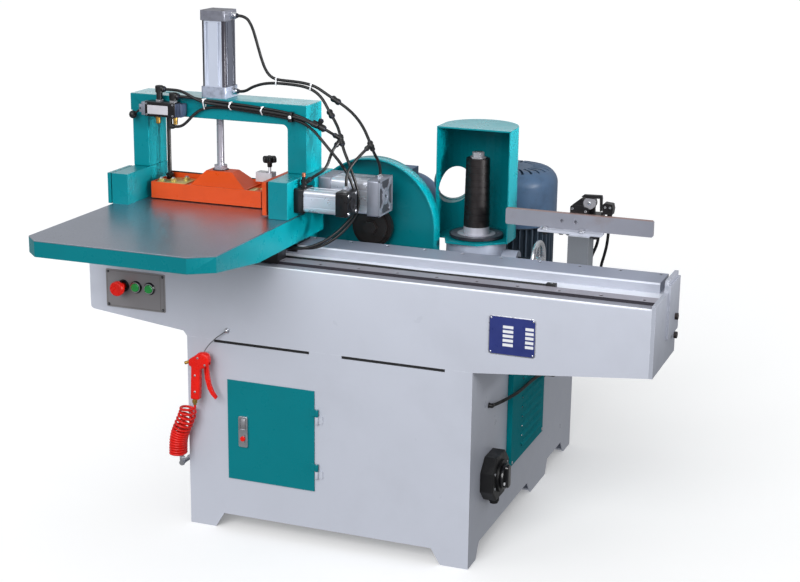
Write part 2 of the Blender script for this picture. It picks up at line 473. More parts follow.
class Kit:
    """One piece, put together from closed shells that share a mesh."""

    def __init__(self, name, body, mats):
        self.name, self.body, self.mats = name, body, mats
        self.bm = bmesh.new()

    def merge(self, tmp, mat, m=None):
        i = self.mats.index(mat)
        bmesh.ops.recalc_face_normals(tmp, faces=tmp.faces[:])
        for f in tmp.faces:
            f.material_index = i
        me = bpy.data.meshes.new("part")
        tmp.to_mesh(me)
        tmp.free()
        if m is not None:
            me.transform(m)
        self.bm.from_mesh(me)
        bpy.data.meshes.remove(me)

    def lathe(self, o, d, prof, mat, segs=32):
        """prof is (height along d, radius) in mm, from o."""
        tmp = bmesh.new()
        rings = []
        for h, r in prof:
            if r <= 1e-6:
                rings.append([tmp.verts.new((0, 0, h * MM))])
            else:
                rings.append([tmp.verts.new((r * MM * math.cos(2 * math.pi * k / segs), r * MM * math.sin(2 * math.pi * k / segs), h * MM)) for k in range(segs)])
        for a, b in zip(rings, rings[1:]):
            for k in range(segs):
                q = (k + 1) % segs
                if len(a) == 1 and len(b) > 1:
                    tmp.faces.new((a[0], b[q], b[k]))
                elif len(b) == 1 and len(a) > 1:
                    tmp.faces.new((a[k], a[q], b[0]))
                elif len(a) > 1:
                    tmp.faces.new((a[k], a[q], b[q], b[k]))
        self.merge(tmp, mat, axis_frame(o, d))
        return self

    def box(self, lo, hi, mat, bev=0.5, segs=2, m=None):
        tmp = bmesh.new()
        size = [abs(b - a) * MM for a, b in zip(lo, hi)]
        mid = [(a + b) / 2 for a, b in zip(lo, hi)]
        bmesh.ops.create_cube(tmp, size=1.0)
        bmesh.ops.scale(tmp, vec=size, verts=tmp.verts[:])
        bmesh.ops.translate(tmp, vec=vec(mid), verts=tmp.verts[:])
        if bev:
            bmesh.ops.bevel(tmp, geom=tmp.edges[:], offset=bev * MM, offset_type="OFFSET", segments=segs, profile=0.5, affect="EDGES", clamp_overlap=True)
        self.merge(tmp, mat, m)
        return self

    def prism(self, pts, push, mat, bev=0.0, segs=2, m=None):
        """A polygon (mm points in order) pushed along a vector (mm)."""
        tmp = bmesh.new()
        f = tmp.faces.new([tmp.verts.new(vec(p)) for p in pts])
        ext = bmesh.ops.extrude_face_region(tmp, geom=[f])
        bmesh.ops.translate(tmp, vec=vec(push), verts=[v for v in ext["geom"] if isinstance(v, bmesh.types.BMVert)])
        if bev:
            ring = [e for e in tmp.edges if len(e.link_faces) == 2 and e.calc_face_angle(0.0) > 0.9]
            bmesh.ops.bevel(tmp, geom=ring, offset=bev * MM, offset_type="OFFSET", segments=segs, profile=0.5, affect="EDGES", clamp_overlap=True)
        self.merge(tmp, mat, m)
        return self

    def ball(self, o, r, mat, segs=24):
        tmp = bmesh.new()
        bmesh.ops.create_uvsphere(tmp, u_segments=segs, v_segments=segs // 2, radius=r * MM)
        self.merge(tmp, mat, Matrix.Translation(vec(o)))
        return self

    def rod(self, a, b, r, mat, segs=24, ch=0.4):
        L = (Vector(b) - Vector(a)).length
        return self.lathe(a, Vector(b) - Vector(a), [(0, 0), (0, r - ch), (ch, r), (L - ch, r), (L, r - ch), (L, 0)], mat, segs)

    def socket(self, o, d, r, h, mat, dark):
        """A cap screw with its hexagon socket."""
        self.lathe(o, d, [(0, 0), (0, r), (h * 0.86, r), (h, r * 0.9), (h, r * 0.56), (h * 0.45, r * 0.54), (h * 0.45, 0)], mat, 24)
        self.lathe(Vector(o) + Vector(d).normalized() * (h * 0.46), d, [(0, 0), (0, r * 0.5), (0.1, r * 0.5), (0.1, 0)], dark, 6)
        return self

    def hexhead(self, o, d, r, h, mat, washer=True):
        if washer:
            self.lathe(o, d, [(0, 0), (0, r * 1.35), (1.2, r * 1.35), (1.2, 0)], mat, 28)
        p = Vector(o) + Vector(d).normalized() * (1.2 if washer else 0)
        self.lathe(p, d, [(0, 0), (0, r), (h * 0.8, r), (h, r * 0.84), (h, 0)], mat, 6)
        return self

    def pan(self, o, d, r, h, mat, dark=None):
        self.lathe(o, d, [(0, 0), (0, r), (h * 0.4, r), (h * 0.78, r * 0.85), (h, r * 0.5), (h, 0)], mat, 20)
        if dark:
            f = axis_frame(Vector(o) + Vector(d).normalized() * h, d)
            for sx, sy in ((r * 0.42, r * 0.09), (r * 0.09, r * 0.42)):
                self.box((-sx, -sy, -0.3), (sx, sy, 0.08), dark, 0, 1, f)
        return self

    def done(self, slot=None, replaces=(), angle=34):
        me = bpy.data.meshes.new(self.name)
        self.bm.to_mesh(me)
        self.bm.free()
        for mt in self.mats:
            me.materials.append(mt)
        for poly in me.polygons:
            poly.use_smooth = True
        me.set_sharp_from_angle(angle=math.radians(angle))
        ob = bpy.data.objects.new(self.name, me)
        scene.collection.objects.link(ob)
        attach(ob, self.body)
        if replaces:
            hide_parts(*replaces)
        return ob


def carve(ob, cutter):
    me = bpy.data.meshes.new("cutter")
    bmesh.ops.recalc_face_normals(cutter.bm, faces=cutter.bm.faces[:])
    cutter.bm.to_mesh(me)
    cutter.bm.free()
    c = bpy.data.objects.new("cutter", me)
    scene.collection.objects.link(c)
    mod = ob.modifiers.new("cut", "BOOLEAN")
    mod.object, mod.operation, mod.solver = c, "DIFFERENCE", "EXACT"
    bpy.context.view_layer.update()
    new = bpy.data.meshes.new_from_object(ob.evaluated_get(bpy.context.evaluated_depsgraph_get()))
    ob.modifiers.remove(mod)
    old = ob.data
    new.name = old.name
    ob.data = new
    bpy.data.meshes.remove(old)
    bpy.data.objects.remove(c)
    bpy.data.meshes.remove(me)
    return ob


# ------------------------------------------------------------------- cords
def curve_of(name, pts, r, res=10):
    cu = bpy.data.curves.new(name, "CURVE")
    cu.dimensions = "3D"
    sp = cu.splines.new("NURBS")
    sp.points.add(len(pts) - 1)
    for p, q in zip(sp.points, pts):
        p.co = (q[0], q[1], q[2], 1.0)
    sp.order_u = 3
    sp.use_endpoint_u = True
    sp.resolution_u = res
    sp.use_smooth = True
    cu.bevel_depth = r
    cu.bevel_resolution = 5
    cu.use_fill_caps = True
    ob = bpy.data.objects.new(name, cu)
    scene.collection.objects.link(ob)
    return ob


def line_of(pts, res=24):
    """Points along the NURBS line of a route."""
    ob = curve_of("route_line", pts, 0.0, res)
    ob.data.use_fill_caps = False
    bpy.context.view_layer.update()
    me = bpy.data.meshes.new_from_object(ob.evaluated_get(bpy.context.evaluated_depsgraph_get()))
    out = [v.co.copy() for v in me.vertices]
    cu = ob.data
    bpy.data.objects.remove(ob)
    bpy.data.curves.remove(cu)
    bpy.data.meshes.remove(me)
    return out


def length_of(pts):
    return sum((b - a).length for a, b in zip(pts, pts[1:]))


def hose(name, pts, r, body, mat, replaces, declare=True):
    ob = curve_of(name, pts, r)
    ob.data.materials.append(mat)
    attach(ob, body)
    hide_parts(*replaces)
    if declare:
        length_of(line_of(pts, 40))
    return ob


A_PTS = [(-0.355, -0.268, 1.375), (-0.332, -0.268, 1.375), (-0.314, -0.268, 1.35), (-0.304, -0.268, 1.32), (-0.295, -0.268, 1.29), (-0.285, -0.268, 1.258), (-0.274, -0.268, 1.233), (-0.259, -0.268, 1.2165), (-0.237, -0.268, 1.2103), (-0.203, -0.268, 1.2095), (-0.165, -0.268, 1.2075), (-0.13, -0.268, 1.2005), (-0.101, -0.268, 1.184), (-0.08, -0.268, 1.172)]
B_PTS = [(-0.355, -0.268, 1.172), (-0.338, -0.268, 1.172), (-0.316, -0.268, 1.186), (-0.287, -0.268, 1.1965), (-0.258, -0.268, 1.2008), (-0.23, -0.268, 1.2013), (-0.2, -0.268, 1.2006), (-0.168, -0.268, 1.1984), (-0.138, -0.268, 1.191), (-0.114, -0.2685, 1.175), (-0.098, -0.2715, 1.155), (-0.086, -0.276, 1.138)]
C_PTS = [(-0.500, -0.338, 1.158), (-0.480, -0.338, 1.158), (-0.456, -0.334, 1.156), (-0.430, -0.329, 1.152), (-0.390, -0.326, 1.150), (-0.345, -0.326, 1.147), (-0.300, -0.326, 1.1445), (-0.255, -0.326, 1.141), (-0.210, -0.326, 1.137), (-0.170, -0.326, 1.1315), (-0.137, -0.325, 1.123), (-0.112, -0.324, 1.112)]
D_PTS = [(-0.518, -0.338, 1.075), (-0.499, -0.338, 1.075), (-0.481, -0.335, 1.088), (-0.464, -0.330, 1.108), (-0.441, -0.3265, 1.126), (-0.405, -0.326, 1.1345), (-0.360, -0.326, 1.135), (-0.315, -0.326, 1.132), (-0.270, -0.326, 1.1285), (-0.225, -0.326, 1.1245), (-0.180, -0.326, 1.1195), (-0.143, -0.327, 1.113), (-0.112, -0.333, 1.099), (-0.082, -0.341, 1.075), (-0.052, -0.346, 1.046), (-0.024, -0.343, 1.015), (-0.004, -0.336, 0.981), (0.009, -0.330, 0.945), (0.014, -0.3285, 0.909), (0.006, -0.331, 0.875), (-0.017, -0.347, 0.842), (-0.050, -0.370, 0.812), (-0.085, -0.391, 0.794), (-0.122, -0.401, 0.7865), (-0.160, -0.401, 0.7865)]
E_PTS = [(-0.542, -0.338, 1.175), (-0.522, -0.338, 1.175), (-0.500, -0.339, 1.1745), (-0.480, -0.342, 1.170), (-0.460, -0.344, 1.1615), (-0.440, -0.3415, 1.152), (-0.415, -0.337, 1.146), (-0.380, -0.3345, 1.143), (-0.340, -0.3345, 1.1405), (-0.300, -0.3345, 1.1385), (-0.255, -0.3345, 1.1355), (-0.210, -0.3345, 1.1315), (-0.170, -0.3345, 1.127), (-0.137, -0.3345, 1.122), (-0.112, -0.3345, 1.113)]
F_PTS = [(-0.0791, -0.3227, 1.0975), (-0.0708, -0.3224, 1.0939), (-0.0604, -0.3202, 1.0877), (-0.054, -0.316, 1.083)]
G_PTS = [(-0.0607, -0.268, 1.1614), (-0.0432, -0.268, 1.1518), (-0.014, -0.277, 1.134), (0.011, -0.288, 1.113), (0.031, -0.300, 1.090), (0.044, -0.309, 1.070)]
G1_PTS = [(0.037, -0.317, 1.052), (0.0266, -0.3224, 1.0397), (0.012, -0.339, 1.020), (0.003, -0.359, 0.999), (0.003, -0.370, 0.978), (0.003, -0.370, 0.962)]
G2_PTS = [(0.0487, -0.300, 1.0494), (0.0496, -0.2909, 1.0375), (0.051, -0.273, 1.020), (0.0524, -0.2605, 1.003), (0.053, -0.255, 0.989), (0.053, -0.255, 0.976)]
H_PTS = [(-0.032, -0.313, 1.058), (-0.0259, -0.3191, 1.0457), (-0.012, -0.325, 1.022), (0.0035, -0.328, 0.985), (0.0155, -0.3235, 0.948), (0.0205, -0.322, 0.9095), (0.0125, -0.3245, 0.873), (-0.010, -0.3395, 0.8375), (-0.043, -0.3615, 0.8055), (-0.079, -0.380, 0.7885), (-0.119, -0.3885, 0.786), (-0.160, -0.388, 0.7865)]
I_PTS = [(-0.047, -0.321, 1.056), (-0.0522, -0.3306, 1.0458), (-0.055, -0.342, 1.027), (-0.057, -0.355, 1.008), (-0.065, -0.366, 0.994), (-0.080, -0.370, 0.9846), (-0.098, -0.370, 0.972)]
J_PTS = [(-0.0748, -0.2805, 1.1246), (-0.0662, -0.2839, 1.1142), (-0.051, -0.294, 1.096), (-0.043, -0.302, 1.080)]
TROUGH = [(-0.160, -0.412, 0.7635), (-0.065, -0.412, 0.7635), (0.040, -0.408, 0.7635), (0.150, -0.411, 0.7635), (0.260, -0.416, 0.7635), (0.370, -0.413, 0.7635), (0.470, -0.412, 0.7635), (0.565, -0.412, 0.7635)]
LIMIT1 = [(0.619, -0.116, 0.842), (0.619, -0.116, 0.828), (0.617, -0.116, 0.813), (0.612, -0.1155, 0.797), (0.605, -0.1145, 0.781), (0.5995, -0.113, 0.764), (0.598, -0.112, 0.747), (0.598, -0.112, 0.730)]
LIMIT2 = [(0.647, -0.118, 0.894), (0.647, -0.118, 0.870), (0.6455, -0.117, 0.838), (0.6425, -0.116, 0.806), (0.6345, -0.114, 0.772), (0.628, -0.112, 0.749), (0.628, -0.112, 0.730)]
SIDE = [(0.414, -0.348, 0.406), (0.416, -0.322, 0.4015), (0.42, -0.286, 0.3975), (0.427, -0.24, 0.3955), (0.4315, -0.2, 0.393), (0.432, -0.155, 0.3895), (0.432, -0.105, 0.3875), (0.432, -0.05, 0.385), (0.432, 0.005, 0.38), (0.432, 0.06, 0.371), (0.432, 0.108, 0.359), (0.432, 0.15, 0.345)]
COIL = [(-0.388, -0.533, 0.360), (-0.388, -0.533, 0.336), (-0.404, -0.533, 0.301), (-0.419, -0.533, 0.264), (-0.422, -0.533, 0.230), (-0.422, -0.533, 0.198)]
GUN_WIRE = [(-0.284, -0.5083, 0.569), (-0.303, -0.511, 0.556), (-0.320, -0.518, 0.540), (-0.332, -0.526, 0.525), (-0.337, -0.531, 0.5134)]

for _n, _p in (("A", A_PTS), ("B", B_PTS), ("C", C_PTS), ("D", D_PTS), ("E", E_PTS), ("G", G_PTS), ("G1", G1_PTS), ("G2", G2_PTS), ("H", H_PTS), ("I", I_PTS), ("J", J_PTS)):
    hose("air_hose_" + _n, _p, 0.004, "carriage", M_HOSE, ["air_hoses"])
hose("air_hose_F", F_PTS, 0.004, "carriage", M_HOSE, ["air_hoses"], declare=False)
hose("trough_line", TROUGH, 0.005, "base", M_HOSE, ["trough_hose"])
hose("limit_line_1", LIMIT1, 0.004, "base", M_HOSE, ["limit_hoses"])
hose("limit_line_2", LIMIT2, 0.004, "base", M_HOSE, ["limit_hoses"])
hose("side_line", SIDE, 0.0045, "base", M_CABLE, ["side_cable"])
hose("gun_wire", GUN_WIRE, 0.0013, "base", M_WIRE, ["wall_fittings"])


def coil_points():
    """The curly hose: out of the gun's nipple, loose turns, then tight ones, and into the inlet pipe."""
    axis = line_of(COIL, 40)
    at = [0.0]
    for a, b in zip(axis, axis[1:]):
        at.append(at[-1] + (b - a).length)
    total = at[-1]

    def on_axis(s):
        s = min(max(s, 0.0), total)
        for i in range(len(at) - 1):
            if s <= at[i + 1]:
                k = (s - at[i]) / max(1e-9, at[i + 1] - at[i])
                t = (axis[i + 1] - axis[i]).normalized()
                return axis[i].lerp(axis[i + 1], k), t
        return axis[-1], (axis[-1] - axis[-2]).normalized()

    rad, per = 0.0222, 14
    pts = [Vector((-0.368, -0.533, 0.360)), Vector((-0.3678, -0.533, 0.354)), Vector((-0.3672, -0.5345, 0.3495))]
    s, ang, end = 0.0095, math.radians(-22), total - 0.0175
    while s < end:
        p, t = on_axis(s)
        side = Vector((0, 1, 0)).cross(t).normalized()
        if side.x < 0:
            side = -side
        back = t.cross(side).normalized()
        if back.y < 0:
            back = -back
        k = s / total
        pitch = 0.0125 if k < 0.42 else 0.0125 - (0.0125 - 0.00735) * min(1.0, (k - 0.42) / 0.10)
        grow = min(1.0, 0.93 + 0.5 * (s - 0.0095) / total)
        pts.append(p + rad * grow * (math.cos(ang) * side + math.sin(ang) * back))
        ang -= 2 * math.pi / per
        s += pitch / per
    # run on round to the back of the coil, then down into the pipe
    p, t = on_axis(end)
    turn = (ang - math.radians(90)) % (2 * math.pi)
    n = max(1, round(turn / (2 * math.pi / per)))
    for i in range(n - 2):
        a = ang - i * turn / n
        q = p + Vector((rad * math.cos(a), rad * math.sin(a), -0.004 * i / n))
        pts.append(q)
    pts += [Vector((-0.4145, -0.5115, 0.2085)), Vector((-0.4215, -0.511, 0.2050)), Vector((-0.422, -0.511, 0.198))]
    return pts


_pts = coil_points()
_ob = curve_of("coil_line", _pts, 0.0035, 3)
_ob.data.bevel_resolution = 3
_ob.data.materials.append(M_REDHOSE)
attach(_ob, "base")
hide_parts("coil_hose")
length_of(line_of(_pts, 6))

# ------------------------------------------------------------------ blow gun
GUN = [(-381, 476), (-380, 489), (-361, 501), (-352, 509), (-337, 512), (-324, 507), (-320, 492), (-322, 476), (-334, 470), (-348, 462), (-349, 418), (-351, 377), (-377, 377), (-375, 429), (-373, 469), (-379, 471)]
k = Kit("blow_gun", "base", [M_RED, M_BLACK, M_ZINC, M_BRASS])
k.prism([(x, -543.5, z) for x, z in GUN], (0, 21, 0), M_RED, 5.5, 4)
gun = k.done("red_plastic", ["air_gun_body"], 40)
k = Kit("cutter", "base", [M_RED])
k.box((-344, -538.2, 440), (-300, -527.8, 486), M_RED, 0)
carve(gun, k)
k = Kit("blow_gun_metal", "base", [M_RED, M_BLACK, M_ZINC, M_BRASS])
k.lathe((-376, -533, 482.4), (-19, 0, -8), [(0, 0), (0, 5.4), (3, 5.4), (4, 4.6), (13, 3.9), (14, 4.4), (20, 4.4), (20.4, 2.0), (18, 1.8), (18, 0)], M_BRASS, 24)
k.lathe((-368, -533, 378), (0, 0, -1), [(0, 0), (0, 6), (5.5, 6), (6, 8), (12, 8), (12.6, 5.6), (17.8, 5.2), (17.8, 0)], M_BRASS, 6)
k.lathe((-331, -544.3, 479), (0, 1, 0), [(0, 0), (0, 2.4), (0.5, 3.0), (22.2, 3.0), (22.6, 2.4), (22.6, 0)], M_ZINC, 18)
for _x, _z in ((-362, 400), (-361, 446), (-352, 496)):
    k.pan((_x, -543.2, _z), (0, -1, 0), 3.0, 1.0, M_ZINC, M_BLACK)
k.done("red_plastic", ["air_gun_body"])

# ------------------------------------------------------ wall and bed fittings
k = Kit("wall_hardware", "base", [M_ZINC, M_BLACK, M_GROUND, M_RING])
k.lathe((-284, -500, 569), (0, -1, 0), [(0, 0), (0, 7.5), (1, 7.5), (1, 5), (4.6, 5), (5.2, 5.5), (7, 5.2), (8.6, 3.2), (9, 0)], M_ZINC, 24)
k.lathe((-405, -474, 178), (-1, 0, 0), [(0, 0), (0, 13), (3, 13), (4, 12), (4, 6), (17, 6), (17, 0)], M_ZINC, 28)
k.lathe((-422, -464, 178), (0, -1, 0), [(0, 0), (0, 7.4), (8, 7.4), (8, 6), (44, 6), (44, 7.4), (53, 7.4), (53, 0)], M_ZINC, 28)
k.lathe((-422, -511, 171), (0, 0, 1), [(0, 0), (0, 6), (14, 6), (14, 8), (15, 8.6), (23, 8.6), (24, 8), (24, 5.4), (27, 5), (27, 0)], M_ZINC, 6)
for _lo, _hi, _d in ((565, 590, -1), (-186, -160, 1)):
    k.box((_lo, -420, 758.1), (_hi, -404, 772), M_BLACK, 1.2, 3)
    _f = _lo if _d < 0 else _hi
    k.lathe((_f, -412, 763.5), (_d, 0, 0), [(0, 0), (0, 5.4), (5, 5.4), (5.6, 5.15), (5.6, 0)], M_RING, 24)
    k.pan((_lo + 12.5, -412, 772), (0, 0, 1), 3.6, 1.6, M_ZINC, M_BLACK)
_a, _b = Vector(SIDE[0]) / MM, Vector(SIDE[1]) / MM
_d = (_a - _b).normalized()
k.lathe(_a - 2 * _d, _d, [(0, 0), (0, 4.9), (1, 5.6), (9, 5.8), (11, 5.2), (11, 0)], M_BLACK, 28)
k.lathe((405, -357, 407.5), (1, 0, 0), [(0, 0), (0, 7.6), (1.4, 7.6), (2, 6.4), (11, 6.2), (12.8, 5.0), (13.4, 0)], M_BLACK, 28)
_a, _b = Vector(SIDE[-1]) / MM, Vector(SIDE[-2]) / MM
_d = (_a - _b).normalized()
k.lathe(_a - 7 * _d, _d, [(0, 0), (0, 5.2), (5, 6.2), (7, 8.4), (10, 9.4), (18, 9.4), (19, 8.6), (25, 8.6), (25, 0)], M_BLACK, 28)
k.lathe((405, 171, 338), (1, 0, 0), [(0, 0), (0, 14), (3, 14), (4, 12), (4, 10), (30, 10), (34, 8), (35.5, 4), (35.5, 0)], M_BLACK, 28)
for _x in (598, 628):
    k.lathe((_x, -112, 716), (0, 0, 1), [(0, 0), (0, 7), (6, 7), (6.4, 5.6), (13, 5.6), (14, 4.6), (15.5, 3.6), (15.5, 0)], M_BLACK, 24)
k.done("ground_steel", ["wall_fittings"])

# ------------------------------------------------ cabinet, plate and panel bits
k = Kit("slot_backs", "base", [M_VOID])
for _a, _b in ((-325, -46), (46, 331)):
    k.box((_a + 0.4, -498.4, 532.4), (_b - 0.4, -497.6, 539.6), M_VOID, 0)
k.done("black_plastic")


def round_rect(x0, x1, z0, z1, r, y, n=6):
    pts = []
    for cx, cz, a0 in ((x1 - r, z1 - r, 0), (x0 + r, z1 - r, 90), (x0 + r, z0 + r, 180), (x1 - r, z0 + r, 270)):
        for i in range(n + 1):
            a = math.radians(a0 + 90 * i / n)
            pts.append((cx + r * math.cos(a), y, cz + r * math.sin(a)))
    return pts


NP = (444.5, 567.0, 598.0, 699.0)
k = Kit("blank_plate", "base", [M_BLUEPLATE, M_ZINC, M_WHITE])
k.prism(round_rect(NP[0], NP[1], NP[2], NP[3], 8, -501.0), (0, 1.0, 0), M_ZINC, 0.25, 2)
k.prism(round_rect(NP[0] + 2.2, NP[1] - 2.2, NP[2] + 2.2, NP[3] - 2.2, 6.5, -501.25), (0, 0.6, 0), M_BLUEPLATE)
_w, _h = NP[1] - NP[0], NP[3] - NP[2]
for _r in range(5):
    _zt = NP[3] - _h * (0.235 + 0.115 * _r)
    for _fa, _fb in ((0.305, 0.525), (0.78, 0.955)):
        k.box((NP[0] + _w * _fa, -501.45, _zt - 7.4), (NP[0] + _w * _fb, -501.0, _zt), M_WHITE, 0)
for _x in (NP[0] + 6.5, NP[1] - 6.5):
    for _z in (NP[2] + 6.5, NP[3] - 6.5):
        k.lathe((_x, -501.2, _z), (0, -1, 0), [(0, 0), (0, 2.6), (0.8, 2.3), (1.5, 1.2), (1.7, 0)], M_ZINC, 18)
k.done("grey_plate")

k = Kit("panel_trim", "base", [M_LINE, M_ZINC, M_BLACK, M_WHITE])


def frame_line(x0, x1, z0, z1, w, y):
    for lo, hi in (((x0, z0), (x1, z0 + w)), ((x0, z1 - w), (x1, z1)), ((x0, z0 + w), (x0 + w, z1 - w)), ((x1 - w, z0 + w), (x1, z1 - w))):
        k.box((lo[0], y - 0.18, lo[1]), (hi[0], y + 0.1, hi[1]), M_LINE, 0)


frame_line(-644.5, -470.5, 600.5, 699.5, 1.1, -502.5)
k.box((-482.2, -502.68, 603), (-481.0, -502.4, 697), M_LINE, 0)
for _x in (-641, -474):
    for _z in (604, 696):
        k.pan((_x, -502.5, _z), (0, -1, 0), 3.8, 2.4, M_BLACK, M_ZINC)
k.done("grey_plate")

# push-button bezels and the mushroom's collar
k = Kit("button_rings", "base", [M_ZINC, M_BLACKMETAL])
for _x in (-594, -555, -514):
    k.lathe((_x, -502.5, 660), (0, -1, 0), [(0, 11.9), (0, 17.0), (1.2, 17.4), (2.6, 16.6), (5.6, 15.4), (6.2, 14.6), (6.2, 11.9), (0, 11.9)], M_BLACKMETAL, 40)
for _x in (-555, -514):
    k.lathe((_x, -508.4, 660), (0, -1, 0), [(0, 12.2), (0, 14.4), (0.8, 14.2), (1.0, 13.2), (0.8, 12.2), (0, 12.2)], M_ZINC, 40)
k.done("black_plastic")

# louvre hoods over the slots of the vent cover, and its screws
k = Kit("louvre_hoods", "base", [M_LOUVRE, M_ZINC, M_BLACK])
for _i in range(9):
    _z = 209 + 28 * _i
    k.prism([(420, -97, _z + 6.5), (423.0, -97, _z + 4.4), (426.2, -97, _z - 1.4), (425.4, -97, _z - 2.0), (422.2, -97, _z + 1.6), (420, -97, _z + 2.2)], (0, 188, 0), M_LOUVRE, 0.3, 1)
for _y in (-178, 114):
    for _z in (184, 464):
        k.pan((420, _y, _z), (1, 0, 0), 4.5, 2.6, M_ZINC, M_BLACK)
k.done("teal_paint")

# load-break switch: cover screws, and the bright dot on the knob
k = Kit("isolator_screws", "base", [M_BLACK, M_ZINC])
for _y, _z in ((-397, 232), (-293, 232), (-397, 192), (-293, 192)):
    k.pan((440.9, _y, _z), (1, 0, 0), 4.2, 2.0, M_ZINC, M_BLACK)
k.done("black_plastic")
k = Kit("isolator_dot", "isolator_switch", [M_ZINC, M_NYLON])
k.lathe((455.9, -363, 196), (1, 0, 0), [(0, 0), (0, 4.6), (1.4, 4.6), (2.4, 3.4), (2.6, 0)], M_NYLON, 24)
k.done("black_plastic")

# door latch: handle bar in its recess
k = Kit("latch_bar", "door", [M_ZINC, M_BLACK])
k.box((-244.5, -509.2, 300), (-230.5, -507.0, 328), M_ZINC, 0.8, 3)
k.box((-231.9, -509.9, 262), (-230.7, -509.4, 284), M_BLACK, 0.1, 1)
k.done("chrome")

# --------------------------------------------------------------- press bar
k = Kit("press_plates", "press", [M_CHROMATE, M_ZINC, M_BLACK])
k.box((-556, -332, 914.1), (-492, -256, 917.2), M_CHROMATE, 0.5)
k.box((-583, -330, 914.1), (-561, -290, 916.0), M_CHROMATE, 0.4)
for _x, _y in ((-538, -312), (-512, -282), (-572, -318)):
    k.hexhead((_x, _y, 917.1 if _x > -560 else 915.9), (0, 0, 1), 8.5, 7.0, M_CHROMATE)
    k.rod((_x, _y, 915), (_x, _y, 928), 4.6, M_ZINC, 20)
k.box((-279.5, -301, 914.1), (-262.5, -276, 916.4), M_CHROMATE, 0.4)
k.box((-301, -334, 914.1), (-283, -290, 915.8), M_CHROMATE, 0.4)
k.hexhead((-271, -288, 916.3), (0, 0, 1), 6.5, 5.0, M_CHROMATE)
k.box((-588.5, -247.8, 929.0), (-478, -243.3, 932.0), M_BLACK, 0.5)
k.box((-339, -247.8, 929.0), (-307, -243.3, 931.6), M_BLACK, 0.5)
k.done("ground_steel")
k = Kit("rod_nuts", "press", [M_DARK, M_ZINC])
k.lathe((-413.6, -268, 953.1), (0, 0, 1), [(0, 17), (0, 22), (1.6, 22), (1.6, 17), (0, 17)], M_DARK, 40)
k.lathe((-573, -268, 923.9), (0, 0, 1), [(0, 8.2), (0, 12.5), (5.0, 12.5), (6.2, 10.8), (6.2, 8.2), (0, 8.2)], M_DARK, 6)
k.lathe((-268, -262, 955), (0, 0, 1), [(0, 4.2), (0, 10), (1.6, 10), (1.6, 4.2), (0, 4.2)], M_ZINC, 28)
k.done("dark_steel")

# star knob with six soft lobes
k = Kit("lobed_knob", "knob", [M_BLACK, M_ZINC])


def lobes(z, scale, n=84):
    out = []
    for i in range(n):
        a = 2 * math.pi * i / n
        r = (17.4 + 3.4 * math.cos(6 * a)) * scale
        out.append((-268 + r * math.cos(a), -262 + r * math.sin(a), z))
    return out


tmp = bmesh.new()
_rings = [[tmp.verts.new(vec(p)) for p in lobes(z, s)] for z, s in ((984, 0.62), (983, 0.80), (984, 0.93), (986.5, 1.0), (994, 1.0), (997.5, 0.95), (999.5, 0.84), (1000, 0.66))]
for _a, _b in zip(_rings, _rings[1:]):
    for _i in range(len(_a)):
        _q = (_i + 1) % len(_a)
        tmp.faces.new((_a[_i], _a[_q], _b[_q], _b[_i]))
tmp.faces.new(_rings[0][::-1])
tmp.faces.new(_rings[-1])
k.merge(tmp, M_BLACK)
k.lathe((-268, -262, 970.5), (0, 0, 1), [(0, 4.3), (0, 6.0), (1.0, 6.6), (9, 6.8), (13.6, 9.6), (13.6, 4.3), (0, 4.3)], M_BLACK, 32)
k.lathe((-268, -262, 999.6), (0, 0, 1), [(0, 0), (0, 5.4), (0.8, 5.0), (0.8, 0)], M_BLACK, 28)
k.done("black_plastic", ["star_knob"], 50)

# --------------------------------------------------------- press cylinder
PX, PY = -413.6, -268.0
k = Kit("press_cylinder_bits", "carriage", [M_ZINC, M_BLACK, M_CHROME, M_RING, M_BLACKMETAL, M_LINE])
for _dx in (-27, 27):
    for _dy in (-27, 27):
        k.socket((PX + _dx, PY + _dy, 1388.8), (0, 0, 1), 4.5, 0.8, M_LINE, M_BLACK)
for _z in (1375, 1172):
    k.lathe((PX + 37.4, PY, _z), (1, 0, 0), [(0, 0), (0, 11.0), (5.4, 11.0), (6.2, 9.4), (6.2, 0)], M_CHROME, 6)
    k.lathe((PX + 43.4, PY, _z), (1, 0, 0), [(0, 0), (0, 8.2), (2, 8.8), (7.6, 8.8), (8.4, 7.6), (11, 7.4), (11, 0)], M_CHROME, 28)
    k.lathe((PX + 54.2, PY, _z), (1, 0, 0), [(0, 0), (0, 6.2), (4.0, 6.2), (4.4, 5.2), (4.4, 0)], M_RING, 28)
k.done("aluminium")

# ---------------------------------------------------------- side cylinders
FY, FZ, RY, RZ = -370.0, 916.0, -255.0, 918.0


def profile(cy, cz, half, r, grooves, gd, x, n=5):
    """Rounded square with shallow grooves on each side, in the plane x."""
    base = []
    for q in range(4):
        a = math.radians(90 * q)
        side = [(half, -half + r)]
        for g in grooves:
            side += [(half, g - 2.0), (half - gd, g - 1.5), (half - gd, g + 1.5), (half, g + 2.0)]
        side.append((half, half - r))
        for i in range(1, n):
            t = math.radians(90 * i / n)
            side.append((half - r + r * math.cos(t), half - r + r * math.sin(t)))
        base += [(u * math.cos(a) - v * math.sin(a), u * math.sin(a) + v * math.cos(a)) for u, v in side]
    return [(x, cy + u, cz + v) for u, v in base]


